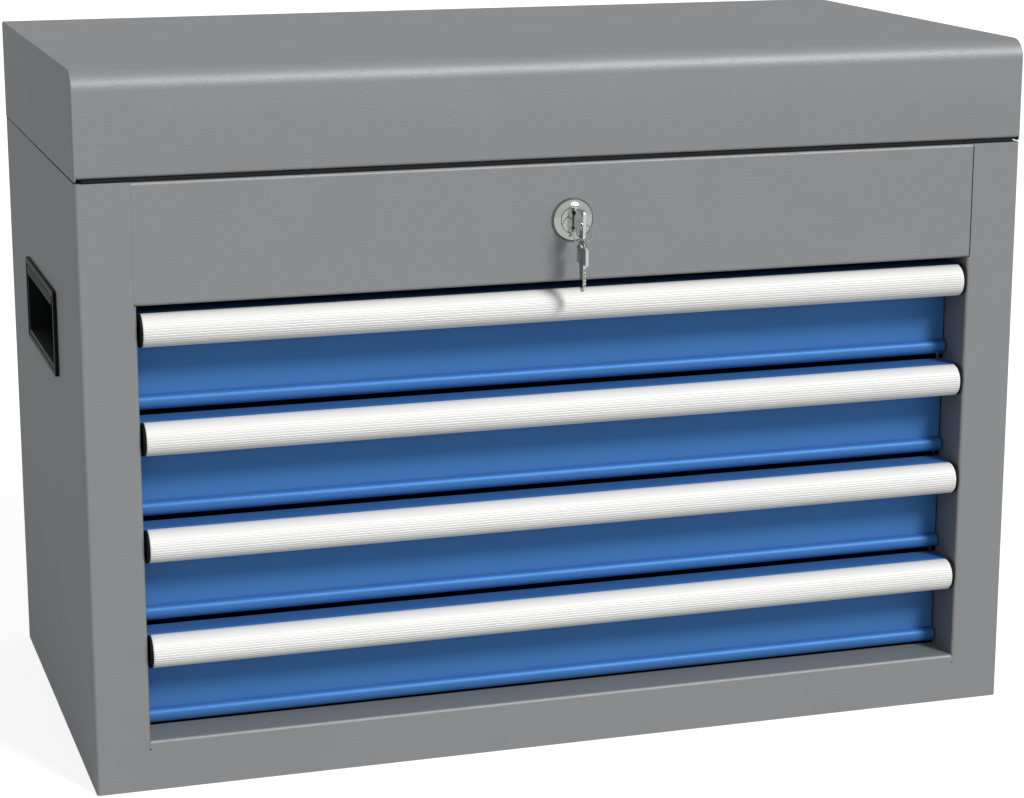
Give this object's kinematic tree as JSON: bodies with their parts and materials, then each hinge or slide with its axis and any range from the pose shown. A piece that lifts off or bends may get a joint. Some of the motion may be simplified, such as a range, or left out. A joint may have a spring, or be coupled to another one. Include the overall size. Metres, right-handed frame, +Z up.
{
  "type": "portable tool box with drawers",
  "caption": "Portable steel tool box: hinged lid over a top tray, drawers on ball slides with full-width grips, recessed side handles and a key lock.",
  "frame": {"origin": "middle of the underside of the floor pan, on the surface that the box stands on", "axes": "+X to the right along the front, +Y to the back, +Z up; the drawers open towards -Y"},
  "size_m": [0.6048, 0.3513, 0.4363],
  "materials": {
    "body_paint": "fine textured grey powder coat",
    "drawer_paint": "smooth satin blue powder coat",
    "box_steel": "satin blue powder coat",
    "grip_finish": "pale satin, fine grooves along the length",
    "black_plastic": "moulded, slightly satin",
    "rubber": "matt black",
    "zinc_steel": "bright zinc plate",
    "strut_paint": "black gloss paint",
    "chrome": "polished nickel"
  },
  "bodies": {
    "cabinet": {"left_side_panel": "body_paint", "right_side_panel": "body_paint", "front_sill": "body_paint", "floor_pan": "body_paint", "back_panel": "body_paint", "fascia": "body_paint", "tray_floor": "body_paint", "tray_mat": "rubber", "slide_uprights": "zinc_steel", "slide_outer_rails": "zinc_steel", "left_handle": "black_plastic", "right_handle": "black_plastic", "lid_seal": "rubber", "hinge_body_leaf": "zinc_steel", "hinge_pin": "zinc_steel", "strut_body_brackets": "zinc_steel", "lock_housing": "chrome", "lock_nut": "zinc_steel"},
    "lid": {"lid_shell": "body_paint", "hinge_lid_leaf": "zinc_steel", "lid_stiffener": "zinc_steel", "lid_catch": "zinc_steel", "strut_lid_brackets": "zinc_steel"},
    "left_strut_tube": {"left_strut_tube": "strut_paint"},
    "left_strut_rod": {"left_strut_rod": "chrome"},
    "right_strut_tube": {"right_strut_tube": "strut_paint"},
    "right_strut_rod": {"right_strut_rod": "chrome"},
    "lock_plug": {"lock_plug": "chrome", "lock_cam": "zinc_steel"},
    "key": {"key": "chrome"},
    "key_ring": {"key_ring": "chrome"},
    "spare_key": {"spare_key": "chrome"},
    "drawer_1": {"drawer_1_front": "drawer_paint", "drawer_1_box": "box_steel", "drawer_1_mat": "rubber", "drawer_1_grip": "grip_finish", "drawer_1_grip_caps": "black_plastic", "drawer_1_inner_rails": "zinc_steel"},
    "drawer_1_balls": {"drawer_1_ball_cages": "zinc_steel"},
    "drawer_2": {"drawer_2_front": "drawer_paint", "drawer_2_box": "box_steel", "drawer_2_mat": "rubber", "drawer_2_grip": "grip_finish", "drawer_2_grip_caps": "black_plastic", "drawer_2_inner_rails": "zinc_steel"},
    "drawer_2_balls": {"drawer_2_ball_cages": "zinc_steel"},
    "drawer_3": {"drawer_3_front": "drawer_paint", "drawer_3_box": "box_steel", "drawer_3_mat": "rubber", "drawer_3_grip": "grip_finish", "drawer_3_grip_caps": "black_plastic", "drawer_3_inner_rails": "zinc_steel"},
    "drawer_3_balls": {"drawer_3_ball_cages": "zinc_steel"},
    "drawer_4": {"drawer_4_front": "drawer_paint", "drawer_4_box": "box_steel", "drawer_4_mat": "rubber", "drawer_4_grip": "grip_finish", "drawer_4_grip_caps": "black_plastic", "drawer_4_inner_rails": "zinc_steel"},
    "drawer_4_balls": {"drawer_4_ball_cages": "zinc_steel"}
  },
  "joints": [
    {"name": "lid_hinge", "type": "hinge", "parent": "cabinet", "child": "lid", "pos_m": [0, 0.1616, 0.3728], "axis": [-1, 0, 0], "range_deg": [0, 80]},
    {"name": "left_strut_tube_hinge", "type": "hinge", "parent": "cabinet", "child": "left_strut_tube", "pos_m": [-0.277, 0.08915, 0.30982], "axis": [-1, 0, 0], "range_deg": [0, 40]},
    {"name": "left_strut_rod_hinge", "type": "hinge", "parent": "lid", "child": "left_strut_rod", "pos_m": [-0.277, 0.08109, 0.42508], "axis": [-1, 0, 0], "range_deg": [-40, 0]},
    {"name": "right_strut_tube_hinge", "type": "hinge", "parent": "cabinet", "child": "right_strut_tube", "pos_m": [0.277, 0.08915, 0.30982], "axis": [-1, 0, 0], "range_deg": [0, 40]},
    {"name": "right_strut_rod_hinge", "type": "hinge", "parent": "lid", "child": "right_strut_rod", "pos_m": [0.277, 0.08109, 0.42508], "axis": [-1, 0, 0], "range_deg": [-40, 0]},
    {"name": "lock_turn", "type": "hinge", "parent": "cabinet", "child": "lock_plug", "pos_m": [0, -0.159, 0.3367], "axis": [0, 1, 0], "range_deg": [0, 90]},
    {"name": "key_pull", "type": "slide", "parent": "lock_plug", "child": "key", "axis": [0, -1, 0], "range_m": [0, 0.03]},
    {"name": "key_ring_swing", "type": "hinge", "parent": "key", "child": "key_ring", "pos_m": [0, -0.1786, 0.3321], "axis": [0, 1, 0], "range_deg": [-90, 0]},
    {"name": "spare_key_swing", "type": "hinge", "parent": "key_ring", "child": "spare_key", "pos_m": [0, -0.1786, 0.32465], "axis": [1, 0, 0], "range_deg": [-20, 20]},
    {"name": "drawer_1_slide", "type": "slide", "parent": "cabinet", "child": "drawer_1", "axis": [0, -1, 0], "range_m": [0, 0.2]},
    {"name": "drawer_1_balls_slide", "type": "slide", "parent": "cabinet", "child": "drawer_1_balls", "axis": [0, -1, 0], "range_m": [0, 0.1]},
    {"name": "drawer_2_slide", "type": "slide", "parent": "cabinet", "child": "drawer_2", "axis": [0, -1, 0], "range_m": [0, 0.2]},
    {"name": "drawer_2_balls_slide", "type": "slide", "parent": "cabinet", "child": "drawer_2_balls", "axis": [0, -1, 0], "range_m": [0, 0.1]},
    {"name": "drawer_3_slide", "type": "slide", "parent": "cabinet", "child": "drawer_3", "axis": [0, -1, 0], "range_m": [0, 0.2]},
    {"name": "drawer_3_balls_slide", "type": "slide", "parent": "cabinet", "child": "drawer_3_balls", "axis": [0, -1, 0], "range_m": [0, 0.1]},
    {"name": "drawer_4_slide", "type": "slide", "parent": "cabinet", "child": "drawer_4", "axis": [0, -1, 0], "range_m": [0, 0.2]},
    {"name": "drawer_4_balls_slide", "type": "slide", "parent": "cabinet", "child": "drawer_4_balls", "axis": [0, -1, 0], "range_m": [0, 0.1]}
  ],
  "couplings": [
    {"joint": "left_strut_tube_hinge", "follows": "lid_hinge", "ratio": 0.5},
    {"joint": "left_strut_rod_hinge", "follows": "lid_hinge", "ratio": -0.5},
    {"joint": "right_strut_tube_hinge", "follows": "lid_hinge", "ratio": 0.5},
    {"joint": "right_strut_rod_hinge", "follows": "lid_hinge", "ratio": -0.5},
    {"joint": "key_ring_swing", "follows": "lock_turn", "ratio": -1},
    {"joint": "drawer_1_balls_slide", "follows": "drawer_1_slide", "ratio": 0.5},
    {"joint": "drawer_2_balls_slide", "follows": "drawer_2_slide", "ratio": 0.5},
    {"joint": "drawer_3_balls_slide", "follows": "drawer_3_slide", "ratio": 0.5},
    {"joint": "drawer_4_balls_slide", "follows": "drawer_4_slide", "ratio": 0.5}
  ]
}
